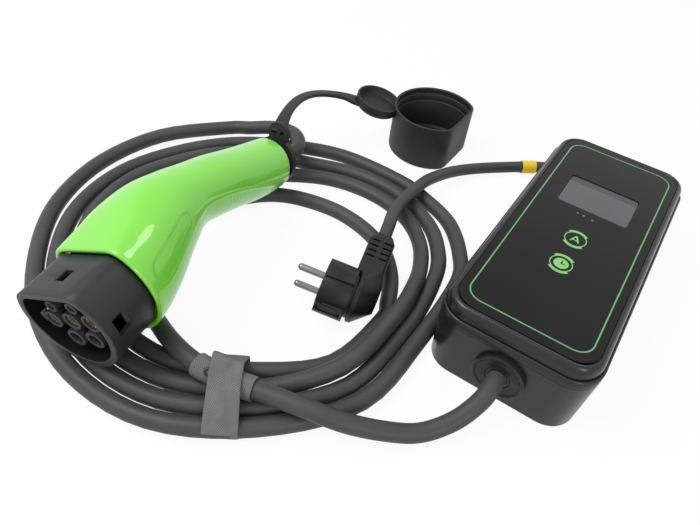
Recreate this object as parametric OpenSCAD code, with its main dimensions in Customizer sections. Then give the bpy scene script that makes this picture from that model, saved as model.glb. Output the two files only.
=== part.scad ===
// Portable charger for an electric car: control box, charging handle, coiled cable, mains lead and plug.
// Millimetres. The box lies flat with its long side along Y. The origin is the middle of its underside.

/* [Control box] */
// width of the box across the cover
box_w = 104; // [102:0.5:106]
// length of the box between its two end faces
box_l = 240; // [236:0.5:244]
// height of the whole box
box_h = 58; // [56:0.5:62]
// height of the base shell, up to the parting line
base_h = 42; // [40:0.5:43]
// plan radius of the box corners
corner_r = 20; // [18:0.5:22]
// wall of both box shells
wall = 3; // [2.4:0.1:3.4]
// inward lean of each long wall at the bottom
draft = 2; // [1.6:0.1:2.6]

/* [Front panel] */
// width of the glossy front panel
panel_w = 90; // [88:0.5:92]
// length of the glossy front panel
panel_l = 226; // [222:0.5:228]
// thickness of the front panel
panel_t = 1.6; // [1.4:0.1:2]
// width of the printed outline, outside
line_w = 80; // [76:0.5:84]
// length of the printed outline, outside
line_l = 212; // [206:0.5:216]
// width of the display window
display_w = 52; // [48:0.5:54]
// length of the display window
display_l = 37; // [34:0.5:39]
// diameter of each touch key ring
key_d = 15.5; // [14:0.5:17]

/* [Charging handle] */
// radius of the round nose, over its outside
nose_r = 33; // [32.6:0.1:33.4]
// height of the flat top of the nose over the contact row
nose_flat = 24; // [23.6:0.1:24.6]
// wall of the nose
nose_wall = 3; // [2.6:0.1:3.4]
// spacing of the power contacts
contact_pitch = 16.3; // [16:0.1:16.6]
// outside diameter of a power contact tube
tube_d = 12.5; // [12:0.1:13]
// outside diameter of a signal contact tube
small_tube_d = 8; // [7.6:0.1:8.6]
// diameter of the rear collar
collar_d = 31; // [29:0.5:33]

/* [Cap and tether] */
// outside radius of the dust cap
cap_r = 37; // [36.6:0.2:38]
// height of the dust cap
cap_h = 42; // [40:0.5:44]
// wall of the dust cap
cap_wall = 3.2; // [2.8:0.1:3.6]
// thickness of the tether strap
tether_t = 3.6; // [3:0.1:4.2]

/* [Cables and plug] */
// diameter of the charging cable
cable_d = 12; // [11.4:0.1:12]
// diameter of the mains lead
lead_d = 10; // [9:0.1:10]
// diameter of the plug head
plug_d = 38; // [36:0.5:38]
// diameter of each plug pin
pin_d = 4.8; // [4.6:0.1:5]
// free length of each plug pin
pin_l = 19; // [18:0.5:20]
// thickness of the hook and loop strap
strap_t = 1.6; // [1.2:0.1:1.6]
// width of the hook and loop strap
strap_w = 22; // [20:0.5:24]

/* [Fits] */
// gap left all round between two pieces that slide together
fit_gap = 0.2; // [0.15:0.05:0.3]

/* [Hidden] */
$fn = 48;

// colours of the mouldings and metals
black = [0.06, 0.06, 0.065];
dark = [0.09, 0.09, 0.095];
lime = [0.40, 0.84, 0.22];
print_green = [0.30, 0.80, 0.30];
steel = [0.72, 0.72, 0.70];
brass = [0.80, 0.62, 0.32];
board_green = [0.07, 0.28, 0.14];

// box: places of the pillars, glands and key parts
pillar_x = 38;
pillar_y = 104;
pillar_d = 9;
screw_d = 3;
head_d = 6;
head_z = 30;
gland_z = 23;
outlet_flange = 34;
outlet_neck = 22;
inlet_flange = 28;
inlet_neck = 18;
inlet_x = 6;
board_w = 62;
board_l = 186;
board_z = 12;
board_t = 1.6;
relay_at = [-16, 10];
relay_size = [32, 40, 24];
sensor_y = -30;
sensor_d = 30;
sensor_bore = 15;
sensor_h = 13;
module_edge = 4;
module_t = 6;
panel_z = box_h - panel_t;
ceiling_z = box_h - 5;
print_t = 0.4;
line_r = 11;
line_t = 0.9;
display_y = 42;
lamp_d = 2.4;
lamp_xy = [[-8, 17], [-3.5, 16.5], [3.5, 15.5]];
key_a_y = -12;
key_clock_y = -41.5;

// handle: place and lean of its own frame, front face at zero and the body behind it
handle_pos = [-208.5, -257.2, 49.5];
handle_turn = [2, -24.5, 9];
nose_front = -4;
nose_back = 30;
spigot_r = 30;
spigot_flat = 21;
spigot_back = 56;
soft_r = 4.5;
carrier_front = 18;
carrier_back = 28;
collar_at = [0, 200.5, -23.7];
collar_lean = -18;
collar_l = 18;
neck_d = 25;
tether_ring_d = 38;
ear_turn = 25;
ear_r = 22;
slot_y = 12.25;

// sections of the grip from the lip to the collar: distance back, middle height, half width,
// half height, and the height at which the top is cut flat
grip_sections = [[30, 0, 36.6, 36.6, 27.4], [33, 0, 36.8, 36.8, 28], [46, 1, 36, 35.6, 31.5],
    [62, 4, 34.4, 33.6, 35.5], [84, 7.4, 29.8, 28.8, 60], [105, 7.4, 24.8, 23.6, 60], [125, 1.6, 23.2, 22.8, 60],
    [145, -5, 23.4, 23, 60], [165, -12.8, 23.2, 23, 60], [185, -19.6, 22.8, 22.4, 60],
    [203, -24.6, 22, 21, 60], [222, -30, 20.6, 19.8, 60]];
grip_sides = 28;

// cap: place on the floor, the flat side faces +X
cap_pos = [-164, 98, 0];
cap_flat = 29;

// tether: middle line of the strap from the ear of the ring to the dish on the cap, with its width
tether_path = [[-233.8, -41, 54.6, 13], [-237.3, -32.5, 57.6, 10], [-241.9, -20.6, 59, 8.5],
    [-246.9, -5.8, 58, 8.5], [-250.6, 10.1, 55.5, 8.5], [-251.4, 25.9, 52, 8.5], [-248.5, 39.1, 48.5, 8.5],
    [-242.9, 49.3, 45.5, 8.5], [-235.9, 57.5, 42.6, 9.5], [-227.1, 63.2, 39.6, 14],
    [-219, 69.4, 37.6, 20]];
dish_pos = [-211.4, 75.6, 33];
dish_r = 19;
dish_h = 9;

// charging cable: its route from inside the box, through the strap, round the coil to the handle
cable_points = [
    [0, -114, 23], [0, -128, 23], [-1.5, -142, 19.8], [-9, -159, 13], [-22, -175, 8.5], [-38, -187, 10],
    [-58, -200, 16.5], [-80, -208, 20.6], [-104, -214, 20.8], [-127, -220, 20.8], [-150, -223, 20.8],
    [-172, -220, 19], [-194, -212, 12.5], [-218, -201, 6.5], [-240, -184, 6], [-253, -158, 6], [-257, -127, 6],
    [-252, -97, 6], [-240, -73, 6], [-222, -55, 6], [-198, -45, 6], [-170, -41, 6], [-141, -46, 6],
    [-118, -58, 6], [-101, -77, 6], [-90, -99, 6],
    [-85, -115, 6], [-92, -165, 6], [-127, -201, 8], [-168, -224, 8], [-213, -226, 6], [-253, -212, 6],
    [-277, -178, 6], [-284, -142, 6], [-282, -108, 6], [-271, -76, 6], [-253, -48, 6], [-230, -27, 6],
    [-204, -11, 6], [-176, -4, 6], [-148, -5, 6], [-122, -14, 6], [-102, -31, 6], [-89, -53, 6],
    [-80.5, -82, 12],
    [-77, -115, 15.4], [-83, -169, 15], [-118, -210, 8], [-163, -236, 8], [-213, -239.5, 6], [-258, -224, 6],
    [-293, -195, 6], [-318, -158, 6], [-326, -115, 6], [-314, -73, 6], [-291, -37, 6], [-256, -14, 6],
    [-229, -4, 6], [-204, 6, 6], [-178, 12, 6], [-150, 11, 6], [-124, 3, 6], [-103, -10, 6], [-88, -27, 6],
    [-77, -48, 6], [-70, -82, 6],
    [-68.5, -115, 6], [-74, -172.5, 6], [-109, -219, 8], [-158, -248.5, 8], [-213, -252.5, 6],
    [-263, -236.5, 6], [-303, -205, 6], [-331, -164, 6], [-339, -115, 6], [-326, -68, 6], [-300, -27, 6],
    [-262, 3, 6], [-213, 25, 6], [-154, 27, 6], [-123, 19, 6], [-94, 5, 6], [-71, -22, 6], [-59, -51, 6],
    [-56.5, -115, 6], [-62, -177, 6], [-100, -228, 8], [-153, -261, 8], [-213, -265.5, 6], [-268, -248, 6],
    [-313, -214, 6], [-347, -170, 6], [-362, -115, 6], [-353, -57, 6], [-318, -10, 6.5], [-299, 0, 10],
    [-282, 5, 15.5], [-266, 6.5, 20], [-252.5, 4.8, 21.8], [-242.5, -2, 22.4], [-236.6, -11, 23],
    [-234.6, -20, 24.6], [-234.3, -28.4, 26.8], [-233.8, -40, 29.8], [-233.4, -51.6, 32.8]];

// mains lead: its route from inside the box, round its far corner and over the coil to the plug
lead_points = [
    [6, 114, 23], [6, 128, 23], [2, 143, 19.2], [-9, 152, 14.5], [-25, 153, 10], [-43, 146, 7],
    [-61, 134, 6], [-78, 120, 6], [-93, 106, 6], [-108, 90, 6.5], [-119, 72, 9], [-126, 52, 13],
    [-130.5, 28, 17.6], [-132.3, 4, 18.2], [-131, -17, 20.8], [-127.8, -33.5, 23], [-123.5, -46.5, 23.8],
    [-119.7, -59.4, 22.9], [-115.2, -74.7, 21.8]];

// yellow sleeve on the lead
sleeve_pos = [-72.5, 124.5, 6];
sleeve_turn = 39.5;
sleeve_l = 13;

// plug: middle of its face, pins to the left, tail towards the far side
plug_pos = [-128.3, -126.6, 23];
plug_turn = [4, 9, 17];
head_l = 20.5;
back_x = 23;
tail_x = 27.5;
tail_w = 19;
tail_t = 17;
tail_end = 58;
pin_gap = 19;
pin_hold = 9;

// strap: middle of the bundle, with the strands as the strap holds them
strap_pos = [-129.3, -224.1, 0];
strap_turn = -57;
strap_inner = -19.9;
strap_outer = 19.1;
strap_low = 8;
strap_top = 20.8;
strap_top_at = [-10, 0.4];
strap_gap = 0.4;

function unit(v) = v / norm(v);
function along(p, i) = unit(p[min(i + 1, len(p) - 1)] - p[max(i - 1, 0)]);
function across(t) = unit(cross(t, [0, 0, 1]));
function tube_ring(p, t, r, n) = [for (k = [0 : n - 1])
    p + r * (cos(360 * k / n) * across(t) + sin(360 * k / n) * cross(across(t), t))];
function tube_faces(m, n) = concat([[for (k = [n - 1 : -1 : 0]) k]],
    [for (i = [0 : m - 2]) for (k = [0 : n - 1])
        [i * n + k, i * n + (k + 1) % n, (i + 1) * n + (k + 1) % n, (i + 1) * n + k]],
    [[for (k = [0 : n - 1]) (m - 1) * n + k]]);

module tube(points, d) {
    sides = 8;
    polyhedron(points = [for (i = [0 : len(points) - 1])
        each tube_ring(points[i], along(points, i), d / 2, sides)],
        faces = tube_faces(len(points), sides));
}

module rounded(w, l, r) {
    square([w - 2 * r, l], center = true);
    square([w, l - 2 * r], center = true);
    for (sx = [-1, 1])
        for (sy = [-1, 1])
            translate([sx * (w / 2 - r), sy * (l / 2 - r)])
                circle(r);
}

module slab(w, l, r, z, h) {
    translate([0, 0, z])
        linear_extrude(h)
            rounded(w, l, r);
}

module four(x, y) {
    for (sx = [-1, 1])
        for (sy = [-1, 1])
            translate([sx * x, sy * y, 0])
                children();
}

module handle() {
    translate(handle_pos)
        rotate(handle_turn)
            children();
}

// round outline with a flat side whose two corners run in softly
function soft(v, lim) = v < lim - soft_r ? v : v > lim + soft_r ? lim : v - pow(v - lim + soft_r, 2) / (4 * soft_r);
function dee_points(r, flat) = [for (k = [0 : 63]) [soft(r * cos(5.625 * k), flat), r * sin(5.625 * k)]];

// solid with a round body and a flat top, lying along Y of the handle
module dee(r, flat, y0, y1) {
    translate([0, y0, 0])
        rotate([-90, 0, 0])
            linear_extrude(y1 - y0)
                rotate(-90)
                    polygon(dee_points(r, flat));
}

module rod(d, y0, y1) {
    translate([0, y0, 0])
        rotate([-90, 0, 0])
            cylinder(d = d, h = y1 - y0);
}

// lower box shell: a moulded tray with pillars for the case screws and posts for the board
module base_shell() {
    color(black)
        difference() {
            union() {
                difference() {
                    hull() {
                        slab(box_w, box_l, corner_r, base_h - 0.5, 0.5);
                        slab(box_w - 2 * draft, box_l, corner_r - draft / 2, 0, 0.5);
                    }
                    slab(box_w - 2 * wall - 2 * draft, box_l - 2 * wall, corner_r - wall, wall, base_h);
                }
                four(pillar_x, pillar_y)
                    cylinder(d = pillar_d, h = base_h);
                four(board_w / 2 - 5, board_l / 2 - 5)
                    cylinder(d = 7, h = board_z);
            }
            four(pillar_x, pillar_y)
                translate([0, 0, -1])
                    cylinder(d = head_d + 2 * fit_gap, h = head_z + 1);
            four(pillar_x, pillar_y)
                cylinder(d = screw_d + 2 * fit_gap, h = base_h + 1);
            four(board_w / 2 - 5, board_l / 2 - 5)
                translate([0, 0, board_z - 7])
                    cylinder(d = 2.5 + 2 * fit_gap, h = 8);
            translate([0, 0, base_h - 1])
                linear_extrude(2)
                    seal_outline(0);
            translate([0, -box_l / 2 + wall + 1, gland_z])
                rotate([90, 0, 0])
                    cylinder(d = outlet_neck, h = wall + 2);
            translate([inlet_x, box_l / 2 + 1, gland_z])
                rotate([90, 0, 0])
                    cylinder(d = inlet_neck, h = wall + 2);
            translate([box_w / 2 - 3, -box_l / 2 + 22, 10])
                cube([6, 7, 2.4], center = true);
        }
}

module seal_outline(gap) {
    difference() {
        rounded(box_w - 1.6 - 2 * gap, box_l - 1.6 - 2 * gap, corner_r - 0.8 - gap);
        rounded(box_w - 4 + 2 * gap, box_l - 4 + 2 * gap, corner_r - 2 + gap);
    }
}

// upper box shell: a lid with a stepped rim, a shallow pocket for the panel and pillars for the screws
module top_cover() {
    rim = 2.4;
    color(black)
        difference() {
            union() {
                difference() {
                    union() {
                        slab(box_w, box_l, corner_r, base_h, 7);
                        hull() {
                            slab(box_w - 2, box_l - 2, corner_r - 1, base_h + 6, 2);
                            slab(box_w - 2 * rim, box_l - 2 * rim, corner_r - rim, base_h + 7, box_h - base_h - 8.5);
                            slab(box_w - 8, box_l - 8, corner_r - 4, box_h - 0.5, 0.5);
                        }
                    }
                    slab(box_w - 2 * wall - 2 * draft, box_l - 2 * wall, corner_r - wall, base_h - 1,
                        ceiling_z - base_h + 1);
                }
                four(pillar_x, pillar_y)
                    translate([0, 0, base_h])
                        cylinder(d = pillar_d, h = ceiling_z - base_h);
            }
            slab(panel_w + 2 * fit_gap, panel_l + 2 * fit_gap, 15 + fit_gap, panel_z, 3);
            four(pillar_x, pillar_y)
                translate([0, 0, base_h - 1])
                    cylinder(d = screw_d + 2 * fit_gap, h = 10);
            translate([0, display_y, box_h])
                cube([display_w - 6, display_l - 6, 20], center = true);
        }
}

// soft ring in the groove of the parting line
module cover_seal() {
    color([0.13, 0.13, 0.13])
        translate([0, 0, base_h - 1])
            linear_extrude(1)
                seal_outline(fit_gap);
}

// glossy front sheet with the window opening, lamp holes and shallow seats for the print
module front_panel() {
    color([0.03, 0.03, 0.035])
        difference() {
            slab(panel_w, panel_l, 15, panel_z, panel_t);
            translate([0, display_y, 0])
                slab(display_w + 2 * fit_gap, display_l + 2 * fit_gap, 3, panel_z - 1, panel_t + 2);
            for (p = lamp_xy)
                translate([p[0], p[1], panel_z - 1])
                    cylinder(d = lamp_d, h = panel_t + 2, $fn = 24);
            translate([0, 0, box_h - print_t])
                linear_extrude(1)
                    outline_shape();
            translate([0, 0, box_h - print_t])
                linear_extrude(1)
                    marks_shape();
        }
}

module outline_shape() {
    difference() {
        rounded(line_w, line_l, line_r);
        rounded(line_w - 2 * line_t, line_l - 2 * line_t, line_r - line_t);
    }
}

module ring_shape(d, t) {
    difference() {
        circle(d = d);
        circle(d = d - 2 * t);
    }
}

// two heavy arcs above and below a key ring
module arcs_shape(d, t) {
    intersection() {
        ring_shape(d + 2 * t, t);
        polygon([[0, 0], [d, d * 0.9], [d, d * 2], [-d, d * 2], [-d, d * 0.9]]);
    }
    intersection() {
        ring_shape(d + 2 * t, t);
        polygon([[0, 0], [d, -d * 0.9], [d, -d * 2], [-d, -d * 2], [-d, -d * 0.9]]);
    }
}

module marks_shape() {
    translate([0, key_a_y]) {
        ring_shape(key_d, 0.7);
        arcs_shape(key_d, 1.6);
        difference() {
            polygon([[-3.4, -3.2], [-2.2, -3.2], [0, 2.2], [2.2, -3.2], [3.4, -3.2], [0.6, 3.6], [-0.6, 3.6]]);
            translate([0, -6])
                square([1, 1], center = true);
        }
        translate([0, -1.3])
            square([3, 0.9], center = true);
    }
    translate([0, key_clock_y]) {
        ring_shape(key_d, 0.7);
        arcs_shape(key_d, 1.6);
        difference() {
            circle(d = key_d - 5.4);
            translate([-0.4, -0.4])
                square([0.9, 3.6]);
            translate([-0.4, -0.4])
                square([3, 0.9]);
        }
    }
}

// green line printed round the panel
module outline_inlay() {
    color(print_green)
        translate([0, 0, box_h - print_t])
            linear_extrude(print_t)
                outline_shape();
}

// printed marks of the two touch keys
module key_marks() {
    color(print_green)
        translate([0, 0, box_h - print_t])
            linear_extrude(print_t)
                marks_shape();
}

// clear window over the display
module display_window() {
    color([0.24, 0.24, 0.26])
        translate([0, display_y, 0])
            slab(display_w, display_l, 3 - fit_gap, panel_z, panel_t);
}

// display and its small board, fixed under the cover
module display_module() {
    color([0.16, 0.2, 0.18])
        translate([-display_w / 2 - module_edge, display_y - display_l / 2 - module_edge, ceiling_z - module_t])
            cube([display_w + 2 * module_edge, display_l + 2 * module_edge, module_t]);
}

// lenses of the three status lamps
module status_lamps() {
    color([0.75, 0.78, 0.75])
        for (p = lamp_xy)
            translate([p[0], p[1], panel_z])
                cylinder(d = lamp_d - 2 * fit_gap, h = panel_t, $fn = 24);
}

// circuit board on the posts of the base
module main_board() {
    color(board_green)
        difference() {
            translate([-board_w / 2, -board_l / 2, board_z])
                cube([board_w, board_l, board_t]);
            four(board_w / 2 - 5, board_l / 2 - 5)
                cylinder(d = 3.2, h = board_z + 5);
        }
}

// relay that switches the line and neutral
module switching_relay() {
    color([0.12, 0.2, 0.45])
        translate([relay_at[0], relay_at[1], board_z + board_t])
            cube(relay_size);
}

// ring core that senses a leak of current
module current_sensor() {
    color([0.15, 0.13, 0.11])
        translate([0, sensor_y, board_z + board_t])
            difference() {
                cylinder(d = sensor_d, h = sensor_h);
                translate([0, 0, -1])
                    cylinder(d = sensor_bore, h = sensor_h + 2);
            }
}

module board_screws() {
    color(steel)
        four(board_w / 2 - 5, board_l / 2 - 5) {
            translate([0, 0, board_z + board_t])
                cylinder(d = 5.4, h = 2);
            translate([0, 0, board_z - 5.5])
                cylinder(d = 2.5, h = 5.5 + board_t + 1);
        }
}

// four screws from below that close the box
module case_screws() {
    color(steel)
        four(pillar_x, pillar_y) {
            difference() {
                translate([0, 0, head_z - 3])
                    cylinder(d = head_d, h = 3);
                translate([0, 0, head_z - 4])
                    cylinder(d = 3, h = 2.4, $fn = 6);
            }
            translate([0, 0, head_z - 1])
                cylinder(d = screw_d, h = base_h + 7 - head_z + 1);
        }
}

// rubber bush where a cable leaves the box: a proud flange, a neck in the wall and a lip inside
module gland(flange, neck, bore) {
    rotate_extrude()
        polygon([[bore / 2, -wall - 3], [neck / 2 + 3, -wall - 3], [neck / 2 + 3, -wall],
            [neck / 2 - fit_gap / 2, -wall], [neck / 2 - fit_gap / 2, 0], [flange / 2, 0], [flange / 2, 4.4],
            [flange / 2 - 0.6, 5], [flange / 2 - 2, 5], [flange / 2 - 2.8, 2.6], [bore / 2 + 2.2, 2.6],
            [bore / 2 + 1.6, 4], [bore / 2, 4.2]]);
}

module outlet_gland() {
    color(dark)
        translate([0, -box_l / 2, gland_z])
            rotate([90, 0, 0])
                gland(outlet_flange, outlet_neck, cable_d + 0.4);
}

module inlet_gland() {
    color(dark)
        translate([inlet_x, box_l / 2, gland_z])
            rotate([-90, 0, 0])
                gland(inlet_flange, inlet_neck, lead_d + 0.4);
}

function grip_ring(s) = [for (k = [0 : grip_sides - 1])
    [s[2] * cos(360 * k / grip_sides), s[0], min(s[1] + s[3] * sin(360 * k / grip_sides), s[4])]];

// green moulded grip: swelling behind the lip, narrow waist, drooping round end
module grip_shell() {
    color(lime)
        handle()
            difference() {
                polyhedron(points = [for (s = grip_sections) each grip_ring(s)],
                    faces = tube_faces(len(grip_sections), grip_sides));
                dee(spigot_r + fit_gap, spigot_flat + fit_gap, nose_back - 1, spigot_back + fit_gap);
                translate(collar_at)
                    rotate([collar_lean, 0, 0])
                        translate([-40, 0, -40])
                            cube([80, 40, 80]);
                translate(collar_at)
                    rotate([collar_lean, 0, 0])
                        rod(cable_d + 0.6, -14, 2);
            }
}

// black nose: round with a flat top, open at the front, closed behind by its spigot in the grip
module nose_housing() {
    color(dark)
        handle()
            difference() {
                union() {
                    dee(nose_r, nose_flat, nose_front, nose_back);
                    dee(spigot_r, spigot_flat, nose_back, spigot_back);
                }
                dee(nose_r - nose_wall, nose_flat - nose_wall, nose_front - 1, carrier_back);
                translate([2, slot_y, nose_flat])
                    cube([7, 8.5, 10], center = true);
                for (sx = [-1, 1])
                    translate([sx * nose_r, 10, -4])
                        cube([14, 8, 11], center = true);
            }
}

// places of the three live power contacts, the two blanked tubes and the two signal contacts
power_xz = [[-contact_pitch, 0], [0, 0], [contact_pitch, 0]];
blank_xz = [[-contact_pitch / 2, -14.1], [contact_pitch / 2, -14.1]];
signal_xz = [[-8.8, 10.8], [8.8, 10.8]];

module at_xz(list) {
    for (p = list)
        translate([p[0], 0, p[1]])
            children();
}

// insulating block with seven tubes; it fills the bottom of the nose
module contact_carrier() {
    color(black)
        handle()
            difference() {
                union() {
                    dee(nose_r - nose_wall - fit_gap, nose_flat - nose_wall - fit_gap, carrier_front, carrier_back);
                    at_xz(concat(power_xz, blank_xz))
                        rod(tube_d, 0, carrier_front + 1);
                    at_xz(signal_xz)
                        rod(small_tube_d, 0, carrier_front + 1);
                }
                at_xz(power_xz)
                    rod(8.4 + 2 * fit_gap, -1, carrier_back + 1);
                at_xz(blank_xz)
                    rod(8.4, -1, 4);
                at_xz(signal_xz)
                    rod(4.4 + 2 * fit_gap, -1, carrier_back + 1);
            }
}

module socket(d, bore, front) {
    difference() {
        rod(d, front, carrier_back);
        rod(bore, front - 1, carrier_back - 6);
    }
}

module power_contacts() {
    color(brass)
        handle()
            at_xz(power_xz)
                socket(8.4, 6.2, 1.5);
}

module signal_contacts() {
    color(brass)
        handle()
            at_xz(signal_xz)
                socket(4.4, 3.2, 1.5);
}

// dark collar that closes the rear of the grip, with a groove for the tether ring
module rear_collar() {
    color(dark)
        handle()
            translate(collar_at)
                rotate([collar_lean - 90, 0, 0])
                    rotate_extrude()
                        polygon([[cable_d / 2 + 0.2, 0], [collar_d / 2, 0], [collar_d / 2, 7], [collar_d / 2 - 2, 9.6],
                            [neck_d / 2, 9.6], [neck_d / 2, 14.6], [neck_d / 2 + 2, 14.6], [neck_d / 2 + 1, 17],
                            [cable_d / 2 + 1.6, collar_l], [cable_d / 2 + 0.2, collar_l]]);
}

function strap_side(p, i) = unit(cross(along(tether_line, i), [0, 0, 1]));
tether_line = [for (p = tether_path) [p[0], p[1], p[2]]];

// soft tether: a ring on the collar, a flat strap and a broad lobe against the cap
module on_collar() {
    handle()
        translate(collar_at)
            rotate([collar_lean - 90, 0, 0])
                children();
}

module tether_strap() {
    n = len(tether_path);
    polyhedron(points = [for (i = [0 : n - 1])
        each let (s = strap_side(tether_line, i) * tether_path[i][3] / 2, h = [0, 0, tether_t / 2])
            [tether_line[i] + s - h, tether_line[i] + s + h, tether_line[i] - s + h, tether_line[i] - s - h]],
        faces = tube_faces(n, 4));
}

module cap_tether() {
    color(dark)
        union() {
            difference() {
                union() {
                    tether_strap();
                    translate(dish_pos)
                        cylinder(r = dish_r, h = dish_h);
                }
                translate(dish_pos)
                    translate([0, 0, 3])
                        cylinder(r = dish_r - 2.6, h = 20);
                translate(cap_pos)
                    translate([0, 0, -1])
                        cylinder(r = cap_r, h = 60);
            }
            on_collar()
                difference() {
                    union() {
                        translate([0, 0, 10])
                            cylinder(d = tether_ring_d, h = 4.2);
                        rotate(ear_turn)
                            translate([0, -ear_r, 10])
                                cylinder(d = 15, h = 4.2);
                    }
                    translate([0, 0, 9])
                        cylinder(d = neck_d + 2 * fit_gap, h = 7);
                    rotate(ear_turn)
                        for (sx = [-1, 1])
                            translate([sx * 3.7, -ear_r, 9])
                                cylinder(d = 2.8, h = 7, $fn = 16);
                }
        }
}

// dust cap: a cup of the same outline as the nose, standing on its closed end
module cup_shape(r, flat) {
    polygon(dee_points(r, flat));
}

module dust_cap() {
    color(dark)
        translate(cap_pos)
            difference() {
                linear_extrude(cap_h)
                    cup_shape(cap_r, cap_flat);
                translate([0, 0, cap_wall])
                    linear_extrude(cap_h)
                        cup_shape(cap_r - cap_wall - 0.4, cap_flat - cap_wall - 0.4);
                translate([0, 0, cap_h - 5])
                    linear_extrude(cap_h)
                        cup_shape(cap_r - cap_wall + 0.8, cap_flat - cap_wall + 0.8);
            }
}

module charge_cable() {
    color([0.07, 0.07, 0.075])
        tube(cable_points, cable_d);
}

module mains_lead() {
    color([0.07, 0.07, 0.075])
        tube(lead_points, lead_d);
}

module lead_sleeve() {
    color([0.95, 0.75, 0.02])
        translate(sleeve_pos)
            rotate([0, 0, sleeve_turn])
                rotate([0, 90, 0])
                    difference() {
                        cylinder(d = lead_d + 1.8, h = sleeve_l, center = true);
                        cylinder(d = lead_d + 0.3, h = sleeve_l + 2, center = true);
                    }
}

module plug() {
    translate(plug_pos)
        rotate(plug_turn)
            children();
}

module tail_slab(w, t, y0, y1) {
    translate([tail_x, y0, 0])
        rotate([-90, 0, 0])
            linear_extrude(y1 - y0)
                rounded(w, t, 4);
}

// moulded plug: round head, a grooved neck, a sloped back and a slotted tail that holds the lead
module plug_body() {
    color(dark)
        plug()
            difference() {
                union() {
                    rotate([0, 90, 0])
                        cylinder(d = plug_d, h = head_l);
                    rotate([0, 90, 0])
                        cylinder(d = plug_d - 7, h = back_x + 2);
                    hull() {
                        translate([back_x, 0, 0])
                            rotate([0, 90, 0])
                                cylinder(d = plug_d - 3, h = 3, $fn = 32);
                        translate([back_x + 13, 5, 0])
                            rotate([0, 90, 0])
                                cylinder(d = 21, h = 2.5, $fn = 32);
                        tail_slab(tail_w, tail_t, 20, 22);
                    }
                    hull() {
                        tail_slab(tail_w, tail_t, 20, tail_end - 6);
                        tail_slab(tail_w - 4, tail_t - 3, 20, tail_end);
                    }
                }
                for (sz = [-1, 1])
                    translate([-1, 0, sz * pin_gap / 2])
                        rotate([0, 90, 0])
                            cylinder(d = pin_d + 2 * fit_gap, h = pin_hold + 1);
                for (sy = [-1, 1]) {
                    translate([head_l / 2 - 2, sy * plug_d / 2, 0])
                        cube([head_l, 4, 8], center = true);
                    translate([head_l / 2 + 2, sy * plug_d / 2, 0])
                        cube([head_l - 6, 2, 20], center = true);
                }
                for (a = [18, 198])
                    rotate([a, 0, 0])
                        translate([1.5, -0.9, plug_d / 2 - 1.4])
                            cube([head_l, 1.8, 3]);
                translate([tail_x, tail_end + 1, 0])
                    rotate([90, 0, 0])
                        cylinder(d = lead_d + 0.4, h = 20);
                for (k = [0 : 3])
                    for (sx = [-1, 1])
                        translate([tail_x + sx * 4.8, 33 + 5.2 * k, tail_t / 2])
                            cube([6.4, 1.8, 3], center = true);
            }
}

module plug_pins() {
    color(steel)
        plug()
            for (sz = [-1, 1])
                translate([0, 0, sz * pin_gap / 2])
                    rotate([0, -90, 0]) {
                        translate([0, 0, -pin_hold])
                            cylinder(d = pin_d, h = pin_hold + pin_l - 1.6, $fn = 32);
                        translate([0, 0, pin_l - 1.6])
                            cylinder(d1 = pin_d, d2 = pin_d - 2.4, h = 1.6, $fn = 32);
                    }
}

// two earth strips in the side grooves of the plug head
module earth_strips() {
    color(steel)
        plug()
            for (sy = [-1, 1])
                translate([3, sy * (plug_d / 2 - 1.6) - 0.4, -3])
                    cube([head_l - 7, 0.8, 6]);
}

// hook and loop strap wrapped round the bundle
module strap_section(grow) {
    hull() {
        translate([strap_inner, strap_low])
            circle(cable_d / 2 + grow, $fn = 32);
        translate([strap_outer, strap_low])
            circle(cable_d / 2 + grow, $fn = 32);
        for (x = strap_top_at)
            translate([x, strap_top])
                circle(cable_d / 2 + grow, $fn = 32);
    }
}

module tie_strap() {
    color([0.22, 0.22, 0.23])
        translate(strap_pos)
            rotate([0, 0, strap_turn])
                rotate([90, 0, 0])
                    linear_extrude(strap_w, center = true)
                        difference() {
                            strap_section(strap_gap + strap_t);
                            strap_section(strap_gap);
                        }
}

base_shell();
top_cover();
cover_seal();
front_panel();
outline_inlay();
key_marks();
display_window();
display_module();
status_lamps();
main_board();
switching_relay();
current_sensor();
board_screws();
case_screws();
outlet_gland();
inlet_gland();
grip_shell();
nose_housing();
contact_carrier();
power_contacts();
signal_contacts();
rear_collar();
cap_tether();
dust_cap();
charge_cable();
mains_lead();
lead_sleeve();
plug_body();
plug_pins();
earth_strips();
tie_strap();
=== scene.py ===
import math
import bmesh
import bpy
from mathutils import Euler, Matrix, Vector


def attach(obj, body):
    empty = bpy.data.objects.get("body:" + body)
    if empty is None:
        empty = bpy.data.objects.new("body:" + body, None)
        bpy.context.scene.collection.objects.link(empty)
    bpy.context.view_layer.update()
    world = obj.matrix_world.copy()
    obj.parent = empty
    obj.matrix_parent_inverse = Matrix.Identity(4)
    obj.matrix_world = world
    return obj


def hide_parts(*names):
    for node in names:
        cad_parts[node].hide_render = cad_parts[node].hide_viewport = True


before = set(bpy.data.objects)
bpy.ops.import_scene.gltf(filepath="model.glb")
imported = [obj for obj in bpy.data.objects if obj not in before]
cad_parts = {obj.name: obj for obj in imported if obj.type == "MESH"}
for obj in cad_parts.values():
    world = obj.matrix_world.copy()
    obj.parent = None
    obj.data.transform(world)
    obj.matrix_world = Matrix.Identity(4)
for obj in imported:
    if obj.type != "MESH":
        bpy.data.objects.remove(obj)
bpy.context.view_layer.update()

scene = bpy.context.scene

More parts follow.
